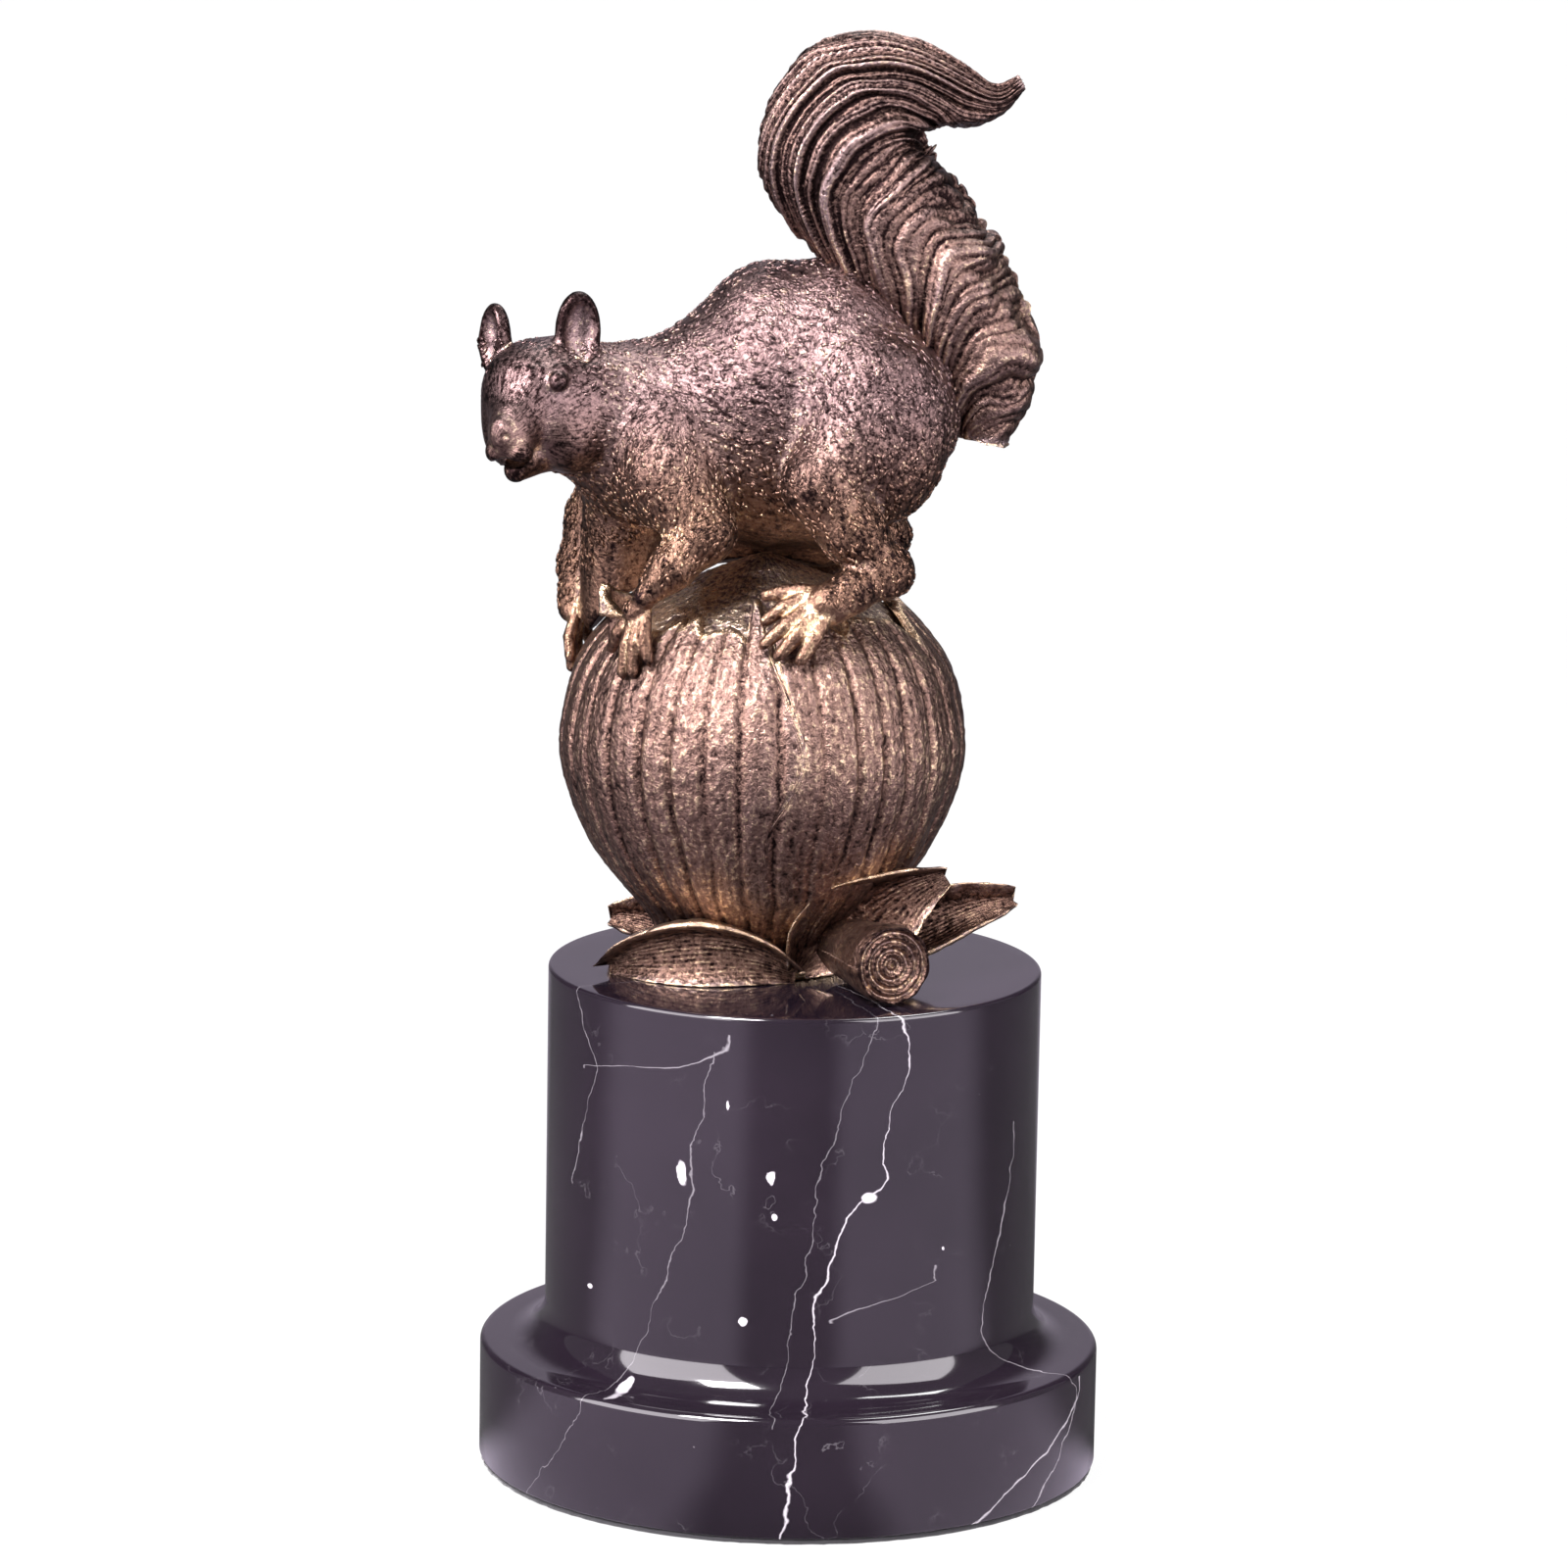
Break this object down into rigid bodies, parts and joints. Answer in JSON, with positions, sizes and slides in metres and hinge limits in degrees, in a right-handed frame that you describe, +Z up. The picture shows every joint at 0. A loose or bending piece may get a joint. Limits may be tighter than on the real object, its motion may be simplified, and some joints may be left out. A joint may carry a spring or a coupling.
{
  "type": "squirrel figurine",
  "caption": "Bronze squirrel crouching on a husked hazelnut with curled leaves and a cut twig, mounted on a stepped round stone plinth.",
  "frame": {"origin": "centre of the felt's underside, on the surface that the figurine stands on", "axes": "+Z up; the squirrel's body runs along X with its head towards -X; -Y is the side that it is seen from, towards which it turns its face"},
  "size_m": [0.1225, 0.12, 0.278],
  "materials": {
    "marble": "polished black with white veins",
    "bronze": "brown patina, rubbed bright on raised fur and ribs",
    "felt": "dark wool felt",
    "steel": "zinc plated"
  },
  "bodies": {
    "root": {"plinth": "marble", "felt_pad": "felt", "fixing_stud": "steel", "washer": "steel", "hex_nut": "steel", "hazelnut": "bronze", "husk": "bronze", "front_left_leaf": "bronze", "front_right_leaf": "bronze", "right_leaf": "bronze", "back_left_leaf": "bronze", "twig_stub": "bronze", "torso": "bronze", "head": "bronze", "left_foreleg": "bronze", "right_foreleg": "bronze", "left_hind_leg": "bronze", "right_hind_leg": "bronze", "tail": "bronze"}
  },
  "joints": []
}
